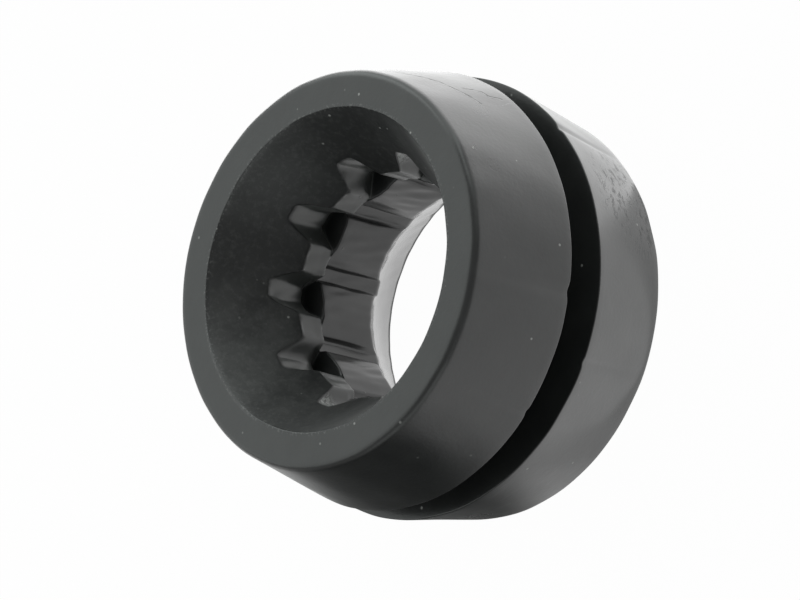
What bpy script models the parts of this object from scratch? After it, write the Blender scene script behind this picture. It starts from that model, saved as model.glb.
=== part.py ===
"""Air filter mounting rubber: one moulded rubber bush that snaps into a round hole in a bracket.

The bush is a thick ring with two flanges and a groove between them for the edge of the bracket's sheet.
A peg of the air filter housing pushes into the bore.  Two rows of rubber lobes grip the peg: a front row of
teeth at the foot of the lead-in cone, and behind it a rear row of crowned pads, set between the teeth.
+Z is the bore's axis with the wide mouth up, and the rear face rests on z = 0.
"""
from math import atan2, ceil, cos, pi, radians, sin, sqrt, tau

import bmesh
import bpy

# Driving dimensions, in metres.  Depths are measured down from the front face, the one with the wide mouth.
THROAT_RADIUS = 0.0074            # circle that touches the tips of the teeth and the crowns of the pads
TOOTH_DRAFT = 0.00025             # by how much a tooth's tip stands back where it meets the cone
FLUTE_DEPTH = 0.00135             # floor of a flute below the throat's circle
POCKET_DEPTH = 0.0022             # floor of the pocket at a flute's rear end, below the same circle
PAD_CROWN = 0.00075               # by how much a pad's long edges stand back from its crown
SLOT_DEPTH = 0.0020               # floor of a slot below the throat's circle
GROOVE_WALL = 0.0023              # rubber left between the slots and the floor of the outer groove
FRONT_LIP_HEIGHT = 0.0033         # groove floor to the front flange's sharp lip
REAR_LIP_HEIGHT = 0.00355         # groove floor to the rear flange's sharp lip
FRONT_TAPER = 0.00165             # by how much the front flange narrows towards the front face
REAR_TAPER = 0.00105              # by how much the rear flange narrows towards the rear face
FRONT_RIM_WIDTH = 0.00245         # width of the flat ring round the mouth
REAR_RIM_WIDTH = 0.0040           # width of the flat ring round the rear end of the bore

FRONT_FLANGE_LENGTH = 0.00755
GROOVE_WIDTH = 0.0026             # holds sheet of about 2.5 mm
REAR_FLANGE_LENGTH = 0.00755
CONE_DEPTH = 0.0061               # depth at which the lead-in cone has narrowed to the throat
TOOTH_LAND = 0.0017               # end of the teeth, below the cone
POCKET_LENGTH = 0.0007            # rear end of a flute, over which its floor drops into the pocket
PAD_LENGTH = 0.0051               # straight part of the pads
ROW_STEP = 0.00015                # slope of the shoulder between the two rows

FRONT_EDGE_RADIUS = 0.0007
MOUTH_EDGE_RADIUS = 0.0003
REAR_EDGE_RADIUS = 0.0005
LIP_EDGE_RADIUS = 0.0001
GROOVE_FLOOR_FILLET = 0.0003

LOBES = 10                        # teeth in the front row, and pads in the rear row
TOOTH_CLOCKING = radians(14.3)    # angle from +X to the middle of the first tooth
PAD_CLOCKING = radians(38.3)      # angle from +X to the middle of the first pad
TOOTH_TIP_SHARE = 0.33            # share of one pitch that a tooth's tip takes up
FLUTE_FLOOR_SHARE = 0.16          # share of one pitch that a flute's floor takes up
PAD_FACE_SHARE = 0.70             # share of one pitch that a pad's face takes up
SLOT_FLOOR_SHARE = 0.14           # share of one pitch that a slot's floor takes up
FLARE_ROLL = 0.25                 # slope of the flare where it leaves the pads, as a share of its mean slope

WIDEST_COLUMN = 0.085             # widest mesh column, as a share of one pitch
NARROWEST_COLUMN = 0.004          # two edges of lobes that lie closer than this share one column
ARC_STEPS = 3                     # mesh rings in a rounded edge
SMOOTHED_ANGLE = radians(35)      # edges that turn less than this are shaded smooth, apart from the arches

# Sizes that follow from them.
LENGTH = FRONT_FLANGE_LENGTH + GROOVE_WIDTH + REAR_FLANGE_LENGTH
FLUTE_RADIUS = THROAT_RADIUS + FLUTE_DEPTH
POCKET_RADIUS = THROAT_RADIUS + POCKET_DEPTH
SLOT_RADIUS = THROAT_RADIUS + SLOT_DEPTH
GROOVE_RADIUS = SLOT_RADIUS + GROOVE_WALL
FRONT_LIP_RADIUS = GROOVE_RADIUS + FRONT_LIP_HEIGHT
REAR_LIP_RADIUS = GROOVE_RADIUS + REAR_LIP_HEIGHT
FRONT_FACE_RADIUS = FRONT_LIP_RADIUS - FRONT_TAPER
REAR_FACE_RADIUS = REAR_LIP_RADIUS - REAR_TAPER
MOUTH_RADIUS = FRONT_FACE_RADIUS - FRONT_RIM_WIDTH
REAR_MOUTH_RADIUS = REAR_FACE_RADIUS - REAR_RIM_WIDTH
GROOVE_TOP_DEPTH = FRONT_FLANGE_LENGTH
GROOVE_BOTTOM_DEPTH = FRONT_FLANGE_LENGTH + GROOVE_WIDTH
ROW_DEPTH = CONE_DEPTH + TOOTH_LAND
PAD_END_DEPTH = ROW_DEPTH + PAD_LENGTH
CONE_SLOPE = (MOUTH_RADIUS - THROAT_RADIUS) / CONE_DEPTH


def lobe_columns():
    """Angles of the mesh columns: at the edges of teeth, flutes, pads and slots, and evenly between."""
    edges = []
    for clocking, tip_share, floor_share in (
        (TOOTH_CLOCKING, TOOTH_TIP_SHARE, FLUTE_FLOOR_SHARE),
        (PAD_CLOCKING, PAD_FACE_SHARE, SLOT_FLOOR_SHARE),
    ):
        middle = clocking * LOBES / tau
        for reach in (tip_share / 2, 0.5 - floor_share / 2):
            edges += [(middle - reach) % 1, (middle + reach) % 1]
    edges.sort()
    shares = []
    for start, end in zip(edges, edges[1:] + [edges[0] + 1]):
        if end - start > NARROWEST_COLUMN:
            steps = ceil((end - start) / WIDEST_COLUMN)
            shares += [start + (end - start) * step / steps for step in range(steps)]
    return [(lobe + share) * tau / LOBES for lobe in range(LOBES) for share in shares]


ANGLES = lobe_columns()
COLUMNS = len(ANGLES)


def rounded(corner, before, after, radius):
    """Arc of the given radius that replaces a corner of the section, as (radius, depth) points."""
    to_before = (before[0] - corner[0], before[1] - corner[1])
    to_after = (after[0] - corner[0], after[1] - corner[1])
    reach_before = sqrt(to_before[0] ** 2 + to_before[1] ** 2)
    reach_after = sqrt(to_after[0] ** 2 + to_after[1] ** 2)
    u = (to_before[0] / reach_before, to_before[1] / reach_before)
    v = (to_after[0] / reach_after, to_after[1] / reach_after)
    half_angle = atan2(abs(u[0] * v[1] - u[1] * v[0]), u[0] * v[0] + u[1] * v[1]) / 2
    sine, cosine = sin(half_angle), cos(half_angle)
    # A rounding never takes more than 0.45 of the wall on either side of it.
    tangent = min(radius * cosine / sine, 0.45 * reach_before, 0.45 * reach_after)
    radius = tangent * sine / cosine
    middle = (u[0] + v[0], u[1] + v[1])
    scale = radius / sine / sqrt(middle[0] ** 2 + middle[1] ** 2)
    centre = (corner[0] + middle[0] * scale, corner[1] + middle[1] * scale)
    start = atan2(corner[1] + u[1] * tangent - centre[1], corner[0] + u[0] * tangent - centre[0])
    end = atan2(corner[1] + v[1] * tangent - centre[1], corner[0] + v[0] * tangent - centre[0])
    sweep = (end - start + pi) % tau - pi
    turns = [start + sweep * step / ARC_STEPS for step in range(ARC_STEPS + 1)]
    return [(centre[0] + radius * cos(turn), centre[1] + radius * sin(turn)) for turn in turns]


def flare_depth(radius):
    """Depth of the rear flare at a radius: a parabola from the ends of the pads to the rear mouth."""
    out = (radius - THROAT_RADIUS) / (REAR_MOUTH_RADIUS - THROAT_RADIUS)
    return PAD_END_DEPTH + (LENGTH - PAD_END_DEPTH) * out * (FLARE_ROLL + (1 - FLARE_ROLL) * out)


def outer_section():
    """Turned section from the mouth's edge, over both flanges and the groove, to the rear mouth."""
    corners = [
        (FLUTE_RADIUS, (MOUTH_RADIUS - FLUTE_RADIUS) / CONE_SLOPE, 0),
        (MOUTH_RADIUS, 0, MOUTH_EDGE_RADIUS),
        (FRONT_FACE_RADIUS, 0, FRONT_EDGE_RADIUS),
        (FRONT_LIP_RADIUS, GROOVE_TOP_DEPTH, LIP_EDGE_RADIUS),
        (GROOVE_RADIUS, GROOVE_TOP_DEPTH, GROOVE_FLOOR_FILLET),
        (GROOVE_RADIUS, GROOVE_BOTTOM_DEPTH, GROOVE_FLOOR_FILLET),
        (REAR_LIP_RADIUS, GROOVE_BOTTOM_DEPTH, LIP_EDGE_RADIUS),
        (REAR_FACE_RADIUS, LENGTH, REAR_EDGE_RADIUS),
        (REAR_MOUTH_RADIUS, LENGTH, MOUTH_EDGE_RADIUS),
        (SLOT_RADIUS, flare_depth(SLOT_RADIUS), 0),
    ]
    points = []
    for before, corner, after in zip(corners, corners[1:], corners[2:]):
        points += rounded(corner[:2], before[:2], after[:2], corner[2])
    return points


def flank(angle, clocking, tip_share, floor_share):
    """Place in one pitch: 0 on the level tip of a lobe, 1 on the floor beside it, an S curve between."""
    from_tip = abs(((angle - clocking) * LOBES / tau + 0.5) % 1 - 0.5)
    flank_start, flank_end = tip_share / 2, 0.5 - floor_share / 2
    rise = min(max((from_tip - flank_start) / (flank_end - flank_start), 0), 1)
    return rise * rise * (3 - 2 * rise)


def tooth_radius(angle, tip, floor):
    """Radius of the front row, with teeth of level tips between flutes of level floors."""
    return tip + (floor - tip) * flank(angle, TOOTH_CLOCKING, TOOTH_TIP_SHARE, FLUTE_FLOOR_SHARE)


def pad_radius(angle):
    """Radius of the rear row, with crowned pads between narrow slots."""
    from_crown = abs(((angle - PAD_CLOCKING) * LOBES / tau + 0.5) % 1 - 0.5)
    face = THROAT_RADIUS + PAD_CROWN * min(from_crown * 2 / PAD_FACE_SHARE, 1) ** 2
    return face + (SLOT_RADIUS - face) * flank(angle, PAD_CLOCKING, PAD_FACE_SHARE, SLOT_FLOOR_SHARE)


def turned_ring(radius, depth):
    """Round ring of the section."""
    return [(radius, depth)] * COLUMNS


def cone_ring(share):
    """Ring on the lead-in cone: round at the mouth for share 0, along the ends of the flutes for share 1."""
    ring = []
    for angle in ANGLES:
        tooth = tooth_radius(angle, THROAT_RADIUS + TOOTH_DRAFT, FLUTE_RADIUS)
        radius = MOUTH_RADIUS + (tooth - MOUTH_RADIUS) * share
        ring.append((radius, (MOUTH_RADIUS - radius) / CONE_SLOPE))
    return ring


def flare_ring(share):
    """Ring on the rear flare: round at the rear mouth for share 0, along the slots' ends for share 1."""
    ring = []
    for angle in ANGLES:
        radius = REAR_MOUTH_RADIUS + (pad_radius(angle) - REAR_MOUTH_RADIUS) * share
        ring.append((radius, flare_depth(radius)))
    return ring


def bush_rings():
    """Closed stack of rings: over the outside from the mouth to the rear face, then back up the bore."""
    rings = [turned_ring(radius, depth) for radius, depth in outer_section()]
    rings += [flare_ring(0.4), flare_ring(0.7), flare_ring(1)]
    rings.append([(pad_radius(angle), ROW_DEPTH + ROW_STEP) for angle in ANGLES])
    rings.append([(tooth_radius(angle, THROAT_RADIUS, POCKET_RADIUS), ROW_DEPTH) for angle in ANGLES])
    rings.append([
        (tooth_radius(angle, THROAT_RADIUS, FLUTE_RADIUS), ROW_DEPTH - POCKET_LENGTH) for angle in ANGLES
    ])
    rings += [cone_ring(1), cone_ring(0.6)]
    return rings


def loft(name, rings, crisp_ring):
    """One closed body through a ring of rings, with its faces pointing out and one ring kept crisp."""
    shell = bmesh.new()
    loops = []
    for ring in rings:
        loops.append([
            shell.verts.new((radius * cos(angle), radius * sin(angle), LENGTH - depth))
            for angle, (radius, depth) in zip(ANGLES, ring)
        ])
    for upper, lower in zip(loops, loops[1:] + loops[:1]):
        for column in range(COLUMNS):
            beside = (column + 1) % COLUMNS
            shell.faces.new((upper[column], lower[column], lower[beside], upper[beside]))
    bmesh.ops.recalc_face_normals(shell, faces=shell.faces)
    crisp = set(loops[crisp_ring])
    for edge in shell.edges:
        edge.smooth = edge.calc_face_angle() < SMOOTHED_ANGLE and not crisp.issuperset(edge.verts)
    mesh = bpy.data.meshes.new(name)
    shell.to_mesh(mesh)
    shell.free()
    mesh.shade_smooth()
    body = bpy.data.objects.new(name, mesh)
    bpy.context.collection.objects.link(body)
    return body


def rubber_material():
    """Satin black moulded rubber with a faint green cast."""
    material = bpy.data.materials.new("black_rubber")
    material.use_nodes = True
    shader = material.node_tree.nodes["Principled BSDF"]
    shader.inputs["Base Color"].default_value = (0.030, 0.033, 0.032, 1)
    shader.inputs["Roughness"].default_value = 0.5
    shader.inputs["Metallic"].default_value = 0
    return material


for old in list(bpy.data.objects):
    bpy.data.objects.remove(old, do_unlink=True)

rings = bush_rings()
arch_ring = len(rings) - 2        # the flutes run out on the cone along the last ring but one
mounting_rubber = loft("mounting_rubber", rings, arch_ring)
mounting_rubber.data.materials.append(rubber_material())
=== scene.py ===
"""Looks of the air filter mounting rubber: its moulded surface, finish, light and camera."""
from math import cos, radians, sin, tau

import bpy
import numpy as np
from mathutils import Matrix, Vector


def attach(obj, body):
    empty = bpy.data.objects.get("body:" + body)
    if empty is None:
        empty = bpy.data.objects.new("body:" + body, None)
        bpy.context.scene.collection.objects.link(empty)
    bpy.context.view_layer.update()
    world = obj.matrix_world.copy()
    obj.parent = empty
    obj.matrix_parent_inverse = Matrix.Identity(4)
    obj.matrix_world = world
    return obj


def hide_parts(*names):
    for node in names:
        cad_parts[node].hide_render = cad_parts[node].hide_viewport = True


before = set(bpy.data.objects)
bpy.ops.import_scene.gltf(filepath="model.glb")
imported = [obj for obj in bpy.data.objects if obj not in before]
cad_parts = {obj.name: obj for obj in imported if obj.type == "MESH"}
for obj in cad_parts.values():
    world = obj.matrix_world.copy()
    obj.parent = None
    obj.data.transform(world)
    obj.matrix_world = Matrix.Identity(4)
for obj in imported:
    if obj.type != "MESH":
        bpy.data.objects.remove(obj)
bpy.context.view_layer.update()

# The camera stands where the photograph's did: above the mouth, turned about its own line of sight so
# that the bore's axis, upright here, points to the left of the picture.
view_target = Vector((-0.0007, 0, 0.0099))
view_distance = 0.2417
view_elevation = radians(45.67)
view_roll = radians(75.2)

camera_data = bpy.data.cameras.new("photo_camera")
camera_data.sensor_width = 36
camera_data.lens = 162
camera_data.clip_start, camera_data.clip_end = 0.01, 10
camera = bpy.data.objects.new("photo_camera", camera_data)
bpy.context.collection.objects.link(camera)
sight_back = Vector((0, -cos(view_elevation), sin(view_elevation)))
upright = (-sight_back).to_track_quat("-Z", "Y").to_matrix()
camera.matrix_world = Matrix.LocRotScale(
    view_target + sight_back * view_distance, upright @ Matrix.Rotation(-view_roll, 3, "Z"), None
)
bpy.context.scene.camera = camera
bpy.context.scene.view_settings.view_transform = "Standard"


# The bush: one moulding in soft black rubber.  Its surface is a sheet wrapped round the ring's section,
# with one column of points for each angle.  Where the bore has lobes, the section's corners move with it.
mm = 0.001
columns = 560
lobes = 10
pitch = tau / lobes
angle = np.arange(columns) * tau / columns

length = 17.7
throat = 7.4
mouth, front_face, front_lip = 10.9, 13.35, 15.0
groove_floor, groove_top, groove_bottom = 11.7, 7.55, 10.15
rear_lip, rear_face, rear_mouth = 15.25, 14.2, 10.2
cone_depth, row_depth, pad_end = 6.1, 7.8, 12.6
pocket_length = 0.7
cone_slope = (mouth - throat) / cone_depth
tooth_clocking, pad_clocking = radians(14.3), radians(38.3)
tip_edge, flute_edge = 0.164, 0.419      # shares of the pitch where a tooth's tip and its flank end
pad_edge, slot_edge = 0.37, 0.41         # the same for a pad's face and the wall of its slot
pad_crown, slot_drop = 0.5, 0.95         # how far pad edges and slot floors lie outside the throat
flare_roll = 0.6


def smooth(low, high, value):
    """S curve from 0 at low to 1 at high: 3 t squared less 2 t cubed."""
    t = np.clip((value - low) / (high - low), 0, 1)
    return t * t * (3 - 2 * t)


def off_middle(clocking):
    """How far each column is from the middle of its lobe, as a share of the pitch, from 0 to 0.5."""
    return np.abs(((angle - clocking) / pitch + 0.5) % 1 - 0.5)


def tooth_row(tip, floor):
    """Radius of the front row: level tips, level flute floors, and S curves for the flanks."""
    return tip + (floor - tip) * smooth(tip_edge, flute_edge, off_middle(tooth_clocking))


def pad_row():
    """Radius of the rear row: crowned pads, parabolas in section, between narrow slots with steep walls."""
    off = off_middle(pad_clocking)
    face = throat + pad_crown * np.minimum(off / pad_edge, 1) ** 2
    return face + (throat + slot_drop - face) * smooth(pad_edge, slot_edge, off)


def flare_depth(radius):
    """Depth of the rear flare at a radius: a parabola from the ends of the pads to the rear mouth."""
    out = (radius - throat) / (rear_mouth - throat)
    return pad_end + (length - pad_end) * out * (flare_roll + (1 - flare_roll) * out)


def corner(radius, depth, reach, arc, run, shine=0.0):
    """One corner of the section: radius and depth in mm for each column, how far its rounding reaches
    along both sides, the points in the rounding, the points along the straight run that follows it, and
    how much the mould polished them, from 0 to 1."""
    place = [np.broadcast_to(radius, columns), np.broadcast_to(depth, columns)]
    return np.stack(place, -1).astype(float), reach, arc, run, shine


def section_sheet(corners):
    """Closed section for each column: every corner is a parabola that touches its two sides, and the
    points of a run are evenly spaced between one rounding and the next.  Returns rings x columns x 2, and
    the polish of each ring."""
    places = [entry[0] for entry in corners]
    starts, ends, rings, shines = [], [], [], []
    for before, (place, reach, *_), after in zip(places[-1:] + places, corners, places[1:] + places[:1]):
        to_before, to_after = before - place, after - place
        size_before = np.linalg.norm(to_before, axis=-1, keepdims=True) + 1e-9
        size_after = np.linalg.norm(to_after, axis=-1, keepdims=True) + 1e-9
        hold = np.minimum(reach, 0.45 * np.minimum(size_before, size_after))
        starts.append(place + to_before / size_before * hold)
        ends.append(place + to_after / size_after * hold)
    for index, (place, reach, arc, run, shine) in enumerate(corners):
        start, end = starts[index], ends[index]
        for t in np.linspace(0, 1, arc):
            rings.append((1 - t) ** 2 * start + 2 * t * (1 - t) * place + t * t * end)
        beyond = starts[(index + 1) % len(corners)]
        for t in np.linspace(0, 1, run + 2)[1:-1]:
            rings.append(end + (beyond - end) * t)
        shines += [shine] * (arc + run)
    return np.array(rings), np.array(shines)


def bump_round(middle, width):
    """Round hump from 0 to 1 at an angle in degrees: a bell curve of the given half width in degrees."""
    off = (np.degrees(angle) - middle + 180) % 360 - 180
    return np.exp(-(off / width) ** 2)


# The mould left a raised bead on part of the mouth's edge, and the flanges' sharp lips have small nicks.
bead = 0.12 * bump_round(153, 24)
front_lip_edge = front_lip - 0.16 * bump_round(-80, 1.6) - 0.10 * bump_round(-112, 0.9)
rear_lip_edge = rear_lip - 0.14 * bump_round(-31, 1.2) - 0.10 * bump_round(-96, 1.0)
arch = tooth_row(throat + 0.25, throat + 1.35)
flute = tooth_row(throat + 0.25, throat + 1.4)
flute_end = tooth_row(throat + 0.22, throat + 2.2)
pad = pad_row()
inner_flare = pad + (rear_mouth - pad) / 3
outer_flare = pad + (rear_mouth - pad) * 2 / 3
sheet, shine = section_sheet([
    corner(mouth, -bead, 0.05, 4, 2),
    corner(mouth + 0.25, -bead * 0.3, 0.05, 3, 4),
    corner(front_face, 0, 0.5, 10, 14),
    corner(front_lip_edge, groove_top, 0.10, 6, 6),
    corner(groove_floor, groove_top, 0.35, 4, 3),
    corner(groove_floor, groove_bottom, 0.35, 4, 6),
    corner(rear_lip_edge, groove_bottom, 0.10, 6, 14),
    corner(rear_face, length, 0.5, 6, 4),
    corner(rear_mouth, length, 0.25, 4, 3, 1.0),
    corner(outer_flare, flare_depth(outer_flare), 9, 7, 1, 1.0),
    corner(inner_flare, flare_depth(inner_flare), 9, 7, 1, 1.0),
    corner(pad, flare_depth(pad), 0.2, 5, 14, 0.5),
    corner(pad, row_depth + 0.1, 0.10, 5, 3, 0.5),
    corner(flute_end, row_depth, 0.06, 4, 2, 0.25),
    corner(flute, row_depth - pocket_length, 0.10, 4, 9, 0.25),
    corner(arch, (mouth - arch) / cone_slope, 0.10, 5, 8),
])
radius, depth = sheet[..., 0], sheet[..., 1]
waves = np.random.default_rng(4)


def ripples(count, around, along):
    """Uneven moulding, about -1 to 1: the sum of sine waves that run a whole number of times round the
    ring and, at a slant, down its depth, with random phases."""
    turns = waves.integers(1, around, count)
    slants = waves.uniform(-along, along, count)
    phases = waves.uniform(0, tau, count)
    total = np.zeros_like(depth)
    for turn, slant, phase in zip(turns, slants, phases):
        total += np.sin(turn * angle + slant * depth + phase)
    return total / np.sqrt(count)


# The bore is less even than the outside, least so on its polished flare.
lobed = (shine > 0)[:, None]
bore_waves = (0.03 - 0.02 * shine[:, None]) * ripples(16, 60, 2.5)
outer_waves = 0.015 * ripples(12, 30, 1.0)
radius = radius + np.where(lobed, bore_waves, outer_waves)
turned = angle + np.where(lobed, 0.0035 * ripples(12, 50, 1.8), 0)
points = np.stack([radius * np.cos(turned), radius * np.sin(turned), length - depth], -1) * mm

rings = len(points)
ring_index, column_index = np.meshgrid(np.arange(rings), np.arange(columns), indexing="ij")
next_ring, next_column = (ring_index + 1) % rings, (column_index + 1) % columns
faces = np.stack([
    ring_index * columns + column_index,
    next_ring * columns + column_index,
    next_ring * columns + next_column,
    ring_index * columns + next_column,
], -1).reshape(-1, 4)

bush_mesh = bpy.data.meshes.new("rubber_bush")
bush_mesh.from_pydata(points.reshape(-1, 3), [], faces)
bush_mesh.shade_smooth()
polish_layer = bush_mesh.attributes.new("polish", "FLOAT", "POINT")
polish_layer.data.foreach_set("value", np.repeat(shine, columns))
bush = bpy.data.objects.new("rubber_bush", bush_mesh)
bpy.context.collection.objects.link(bush)


class Value:
    """A shader socket that takes part in Python arithmetic: each operator adds its Math node."""

    def __init__(self, tree, socket):
        self.tree, self.socket = tree, socket

    def math(self, operation, *inputs, clamp=False):
        settings = {"operation": operation, "use_clamp": clamp}
        return self.tree.add("ShaderNodeMath", settings, dict(enumerate(inputs)))[0]

    def __add__(self, other):
        return self.math("ADD", self, other)

    def __sub__(self, other):
        return self.math("SUBTRACT", self, other)

    def __rsub__(self, other):
        return self.math("SUBTRACT", other, self)

    def __mul__(self, other):
        return self.math("MULTIPLY", self, other)

    __radd__, __rmul__ = __add__, __mul__

    def ramp(self, low, high, first=0.0, last=1.0):
        """First below low, last above high, an S curve between them."""
        settings = {"interpolation_type": "SMOOTHSTEP"}
        values = {"Value": self, "From Min": low, "From Max": high, "To Min": first, "To Max": last}
        return self.tree.add("ShaderNodeMapRange", settings, values)[0]


class Finish:
    """A material's node tree and the one method that adds nodes to it."""

    def __init__(self, name):
        self.material = bpy.data.materials.new(name)
        self.material.use_nodes = True
        self.tree = self.material.node_tree
        self.shader = self.tree.nodes["Principled BSDF"]

    def add(self, kind, settings=None, values=None):
        """Adds a node, sets its settings and the values or links of its inputs.  Returns its outputs."""
        node = self.tree.nodes.new(kind)
        for key, setting in (settings or {}).items():
            setattr(node, key, setting)
        for key, value in (values or {}).items():
            self.put(node.inputs[key], value)
        return [Value(self, output) for output in node.outputs if output.enabled]

    def put(self, socket, value):
        """Links a value or a socket of another node, or sets a plain number or colour."""
        if isinstance(value, Value):
            self.tree.links.new(value.socket, socket)
        else:
            socket.default_value = value

    def noise(self, where, scale, detail=2.0, rough=0.5):
        """Noise from 0 to 1 in patches of about 1 / scale metres."""
        values = {"Vector": where, "Scale": scale, "Detail": detail, "Roughness": rough}
        return self.add("ShaderNodeTexNoise", {}, values)[0]

    def mix(self, share, first, second):
        """Colour that goes from first to second as share goes from 0 to 1."""
        node = self.tree.nodes.new("ShaderNodeMix")
        node.data_type = "RGBA"
        for key, value in zip((0, 6, 7), (share, first, second)):
            self.put(node.inputs[key], value)
        return Value(self, node.outputs[2])


rubber = Finish("black_rubber")
place = rubber.add("ShaderNodeTexCoord")[3]
polished = rubber.add("ShaderNodeAttribute", {"attribute_name": "polish"})[2]
in_bore = polished.ramp(0.0, 0.25)
front_row = in_bore * polished.ramp(0.25, 0.5, 1, 0)
on_flare = polished.ramp(0.6, 1.0)


def stretched(share):
    """The place with each axis scaled: a pattern is drawn out along the axes with small shares."""
    return rubber.add("ShaderNodeVectorMath", {"operation": "MULTIPLY"}, {0: place, 1: share})[0]


# Lines drawn on the rubber wander by up to a quarter of a millimetre.
wander = rubber.add("ShaderNodeTexNoise", {}, {"Vector": place, "Scale": 1300, "Detail": 3})[1]
wander = rubber.add("ShaderNodeVectorMath", {"operation": "SUBTRACT"}, {0: wander, 1: (0.5, 0.5, 0.5)})[0]
wander = rubber.add("ShaderNodeVectorMath", {"operation": "SCALE"}, {0: wander, "Scale": 0.0005})[0]
uneven = rubber.add("ShaderNodeVectorMath", {"operation": "ADD"}, {0: place, 1: wander})[0]


def far_from(spot):
    """Distance in metres from a spot."""
    return rubber.add("ShaderNodeVectorMath", {"operation": "DISTANCE"}, {0: place, 1: spot})[0]


def on_front(bearing, down):
    """Spot on the front flange at a bearing in degrees and a depth in mm."""
    out = front_face + (front_lip - front_face) * down / groove_top
    return Vector((out * cos(radians(bearing)), out * sin(radians(bearing)), length - down)) * mm


def on_rear(bearing, down):
    """Spot on the rear flange at a bearing in degrees and a depth in mm."""
    out = rear_lip + (rear_face - rear_lip) * (down - groove_bottom) / (length - groove_bottom)
    return Vector((out * cos(radians(bearing)), out * sin(radians(bearing)), length - down)) * mm


def stroke(spots, width):
    """1 along a line through spots, 0 beyond its width: the nearest point of each stretch lies at the
    share of the stretch that the place's projection on it gives, held between its ends."""
    nearest = None
    for start, end in zip(spots, spots[1:]):
        run = end - start
        away = rubber.add("ShaderNodeVectorMath", {"operation": "SUBTRACT"}, {0: uneven, 1: start})[0]
        along = rubber.add("ShaderNodeVectorMath", {"operation": "DOT_PRODUCT"}, {0: away, 1: run})[0]
        share = along.math("MULTIPLY", along, 1 / run.length_squared, clamp=True)
        foot = rubber.add("ShaderNodeVectorMath", {"operation": "SCALE"}, {0: run, "Scale": share})[0]
        gap = rubber.add("ShaderNodeVectorMath", {"operation": "DISTANCE"}, {0: away, 1: foot})[0]
        nearest = gap if nearest is None else nearest.math("MINIMUM", nearest, gap)
    return nearest.ramp(0, width, 1, 0)


grain = rubber.noise(place, 4200, 3)
mottle = rubber.noise(place, 420, 4, 0.6)
cloud = rubber.noise(place, 90, 3, 0.55)
streaks = rubber.noise(stretched((0.35, 0.35, 1.6)), 900, 4, 0.65)
from_axis = rubber.add("ShaderNodeVectorMath", {"operation": "LENGTH"}, {0: stretched((1, 1, 0))})[0]
on_cone = from_axis.ramp(0.0107, 0.0109, 1, 0) * (1 - in_bore)

# The ends of two flutes, on opposite sides of the bore, are torn: rough and pale.
torn_patch = far_from(Vector((8.78, -0.57, 13.4)) * mm).ramp(0.0009, 0.0019, 1, 0)
torn_patch = torn_patch + far_from(Vector((-8.76, 0.57, 13.4)) * mm).ramp(0.0009, 0.0019, 1, 0)
torn = torn_patch * front_row * rubber.noise(place, 3800, 4, 0.7).ramp(0.42, 0.58)

# Thin creases in the front flange, where the rubber folded over itself as the mould filled.
creases = stroke([
    on_front(0, 1.9), on_front(-5.6, 2.55), on_front(-11.2, 3.4), on_front(-15, 3.6),
    on_front(-19.2, 4.0), on_front(-24.4, 4.4),
], 0.00013)
creases = creases.math("MAXIMUM", creases, stroke([
    on_front(-14.7, 4.15), on_front(-17.6, 5.6), on_front(-20.4, 5.9), on_front(-21.8, 6.7),
], 0.00012))
pale_line = stroke([on_front(-24.4, 4.4), on_front(-24.8, 5.8), on_front(-23.7, 7.1)], 0.00006)

# Dull stains and small scratches on the rear flange.
stain_patch = far_from(on_rear(-49, 15.4)).ramp(0.0022, 0.0052, 1, 0)
blotches = rubber.noise(stretched((0.7, 0.7, 1.3)), 1900, 5, 0.72)
stains = stain_patch * blotches.ramp(0.52, 0.60)
scuff_patch = far_from(on_rear(-139, 13.8)).ramp(0.0016, 0.0046, 1, 0)
scuffs = scuff_patch * streaks.ramp(0.55, 0.66)
scratches = stroke([on_rear(-22, 14.6), on_rear(-24, 16.4)], 0.00005)
short_scratch = stroke([on_rear(-25.5, 14.1), on_rear(-27.2, 15.4)], 0.00004)
scratches = scratches.math("MAXIMUM", scratches, short_scratch)

# The cone is painted paler in noisy patches, and paler again towards the picture's lower left, where the
# lightening is painted light on the side that catches it.
cone_pale_patches = on_cone * rubber.noise(place, 2600, 2, 0.7).ramp(0.45, 0.75)
lower_left_painted_light = on_cone * far_from(Vector((-6.8, 6.8, 15.4)) * mm).ramp(0.002, 0.009, 1, 0) * mottle.ramp(0.3, 0.6)

# The mouth's edge is painted pale in patches: a painted highlight along the edge.
mouth_edge_painted_highlight = from_axis.ramp(0.0107, 0.0109) * from_axis.ramp(0.0110, 0.0112, 1, 0)
mouth_edge_painted_highlight = mouth_edge_painted_highlight * rubber.noise(place, 5200, 2).ramp(0.52, 0.66)

# Dust: a small round dot in a few cells of a net.
net = {"Vector": place, "Scale": 1100}
dust_gap, dust_pick, _ = rubber.add("ShaderNodeTexVoronoi", {"feature": "F1"}, net)
dust_chance = rubber.add("ShaderNodeSeparateColor", {}, {"Color": dust_pick})
dust = dust_gap.ramp(0.05, 0.14, 1, 0) * dust_chance[0].ramp(0.80, 0.805) * dust_chance[1].ramp(0.2, 1.0)

base = rubber.mix(mottle.ramp(0.35, 0.75), (0.011, 0.0125, 0.0122, 1), (0.016, 0.018, 0.0172, 1))
# The front row of flutes is painted a lighter grey: painted light that stands in for the light reaching its
# flanks and floors.
base = rubber.mix(front_row, base, (0.075, 0.081, 0.077, 1))
base = rubber.mix(torn, base, (0.48, 0.50, 0.48, 1))
base = rubber.mix(cone_pale_patches * 0.5 + lower_left_painted_light * 0.6, base, (0.060, 0.062, 0.060, 1))
base = rubber.mix(mouth_edge_painted_highlight * 0.35, base, (0.20, 0.21, 0.20, 1))
base = rubber.mix(scuffs * 0.5, base, (0.090, 0.092, 0.090, 1))
base = rubber.mix(scratches * 0.6 + pale_line * 0.2, base, (0.45, 0.46, 0.46, 1))
rubber.put(rubber.shader.inputs["Base Color"], rubber.mix(dust * 0.8, base, (0.42, 0.43, 0.41, 1)))

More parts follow.
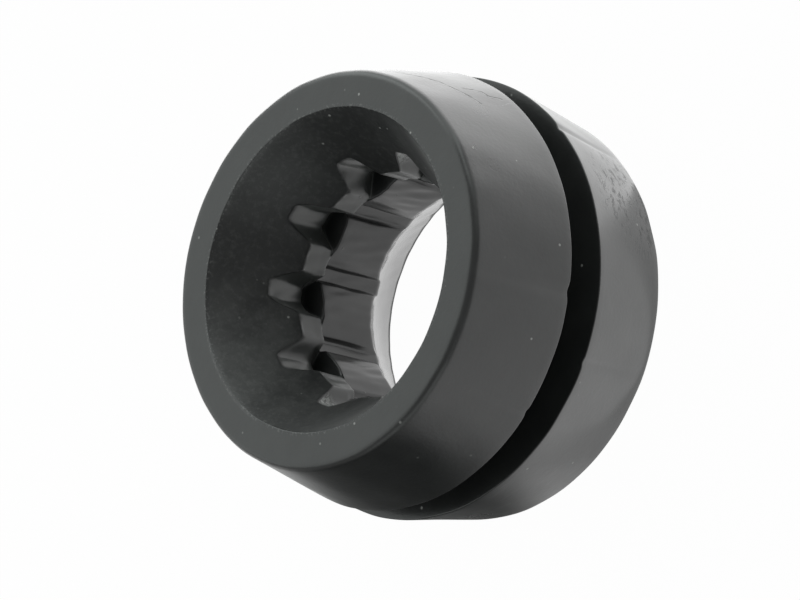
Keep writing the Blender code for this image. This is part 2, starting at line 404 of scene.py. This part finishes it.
outside_rough = cloud.ramp(0.3, 0.7, 0.27, 0.40) + stains * 0.2 + creases * 0.2 + on_cone * 0.14
bore_rough = cloud.ramp(0.35, 0.65, 0.28, 0.38) - on_flare * 0.13
rough = outside_rough + in_bore * (bore_rough - outside_rough) + dust * 0.3
rubber.put(rubber.shader.inputs["Roughness"], rough)
rubber.shader.inputs["Specular IOR Level"].default_value = 0.8
rubber.shader.inputs["Sheen Weight"].default_value = 0.25
rubber.shader.inputs["Sheen Roughness"].default_value = 0.3
rubber.put(rubber.shader.inputs["Coat Weight"], on_flare)
rubber.shader.inputs["Coat Roughness"].default_value = 0.12
rubber.shader.inputs["Coat IOR"].default_value = 2.2
height = grain * (1 - in_bore * 0.8) * 0.45 + mottle * 1.5 - stains * 0.7 - creases * 2.0 + dust * 0.6
bump = rubber.add("ShaderNodeBump", {}, {"Strength": 0.3, "Distance": 0.00005, "Height": height})[0]
rubber.put(rubber.shader.inputs["Normal"], bump)
bush.data.materials.append(rubber.material)

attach(bush, "root")
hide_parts("mounting_rubber")


# The floor: a wide white sheet under the rear face.  It shows white to the camera.  In the rubber's gloss
# it is white too, apart from where the rims touch it and from the side at the picture's bottom, where the
# photograph's table lay in the bush's shade.
floor_mesh = bpy.data.meshes.new("floor")
reach = 1.5
floor_mesh.from_pydata(
    [(-reach, -reach, 0), (reach, -reach, 0), (reach, reach, 0), (-reach, reach, 0)], [], [(0, 1, 2, 3)]
)
floor = bpy.data.objects.new("floor", floor_mesh)
bpy.context.collection.objects.link(floor)
paper = Finish("white_paper")
light_path = paper.tree.nodes.new("ShaderNodeLightPath")
to_camera = Value(paper, light_path.outputs["Is Camera Ray"])
in_gloss = Value(paper, light_path.outputs["Is Glossy Ray"])
spot = paper.add("ShaderNodeTexCoord")[3]
bearing = paper.add("ShaderNodeVectorMath", {"operation": "NORMALIZE"}, {0: spot})[0]
bearing = paper.add("ShaderNodeVectorMath", {"operation": "DOT_PRODUCT"}, {0: bearing, 1: (-1, 0, 0)})[0]
from_bush = paper.add("ShaderNodeVectorMath", {"operation": "LENGTH"}, {0: spot})[0]
shade_side = bearing.ramp(0.72, 0.95) * from_bush.ramp(0.010, 0.014)
# Painted contact shadow: in the gloss the sheet is dark in a ring under the rear face, out to its rims.
contact = from_bush.ramp(0.0100, 0.0101) * from_bush.ramp(0.0140, 0.0144, 1, 0) * 0.8
shade = shade_side.math("MAXIMUM", shade_side, contact)
paper.shader.inputs["Base Color"].default_value = (0.82, 0.82, 0.82, 1)
paper.shader.inputs["Roughness"].default_value = 0.9
white = paper.add("ShaderNodeEmission", {}, {"Color": (1, 1, 1, 1), "Strength": 1.0})[0]
dark = paper.add("ShaderNodeEmission", {}, {"Color": (1, 1, 1, 1), "Strength": 0.04})[0]
glow = paper.add("ShaderNodeMixShader", {}, {0: shade * in_gloss, 1: white, 2: dark})[0]
blend = paper.add("ShaderNodeMixShader", {}, {
    0: to_camera * 0.98 + in_gloss,
    1: Value(paper, paper.shader.outputs["BSDF"]),
    2: glow,
})[0]
paper.put(paper.tree.nodes["Material Output"].inputs["Surface"], blend)
floor.data.materials.append(paper.material)

world = bpy.data.worlds.new("studio")
bpy.context.scene.world = world
world.use_nodes = True
world_nodes, world_links = world.node_tree.nodes, world.node_tree.links
world_nodes["Background"].inputs["Color"].default_value = (1, 1, 1, 1)
world_path = world_nodes.new("ShaderNodeLightPath")
world_level = world_nodes.new("ShaderNodeMapRange")
world_level.inputs["To Min"].default_value = 0.28
world_level.inputs["To Max"].default_value = 1.0
world_links.new(world_path.outputs["Is Camera Ray"], world_level.inputs["Value"])
world_links.new(world_level.outputs["Result"], world_nodes["Background"].inputs["Strength"])


# The lamps are soft boxes round the bush: the key past the picture's top edge, a large one on the far side
# that the mouth's flat ring mirrors, and two weak ones low on the near side.
def soft_box(name, azimuth, elevation, power, width, height):
    """Rectangular lamp at a bearing in degrees from the bush, 0.6 m off, facing it."""
    lamp = bpy.data.lights.new(name, "AREA")
    lamp.shape, lamp.size, lamp.size_y, lamp.energy = "RECTANGLE", width, height, power
    lamp.color = (0.94, 1.0, 0.98)
    box = bpy.data.objects.new(name, lamp)
    turn, rise = radians(azimuth), radians(elevation)
    out = Vector((cos(rise) * cos(turn), cos(rise) * sin(turn), sin(rise)))
    box.location = view_target + out * 0.6
    box.rotation_euler = out.to_track_quat("Z", "Y").to_euler()
    bpy.context.collection.objects.link(box)


soft_box("key_box", 25, 26, 1.8, 0.9, 0.6)
soft_box("back_box", 90, 42, 1.9, 1.1, 0.7)
soft_box("side_box", 340, 20, 0.25, 0.5, 0.4)
soft_box("front_box", 215, 25, 0.4, 0.6, 0.4)


# Two panels laid on the sheet beside the bush stand for the photograph's overlit backdrop, which the
# gloss of the flanges mirrors.
def backdrop_panel(name, left, front, width, depth, power):
    """Rectangular lamp that lies on the sheet and faces up, unseen by the camera.  Left and front are the
    coordinates of its corner."""
    lamp = bpy.data.lights.new(name, "AREA")
    lamp.shape, lamp.size, lamp.size_y, lamp.energy = "RECTANGLE", width, depth, power
    panel = bpy.data.objects.new(name, lamp)
    panel.location = (left + width / 2, front + depth / 2, 0.0002)
    panel.rotation_euler = (radians(180), 0, 0)
    panel.visible_camera = False
    bpy.context.collection.objects.link(panel)


backdrop_panel("wide_panel", 0.011, -0.020, 0.28, 0.27, 0.31)
backdrop_panel("small_panel", -0.014, -0.030, 0.025, 0.0155, 0.0006)
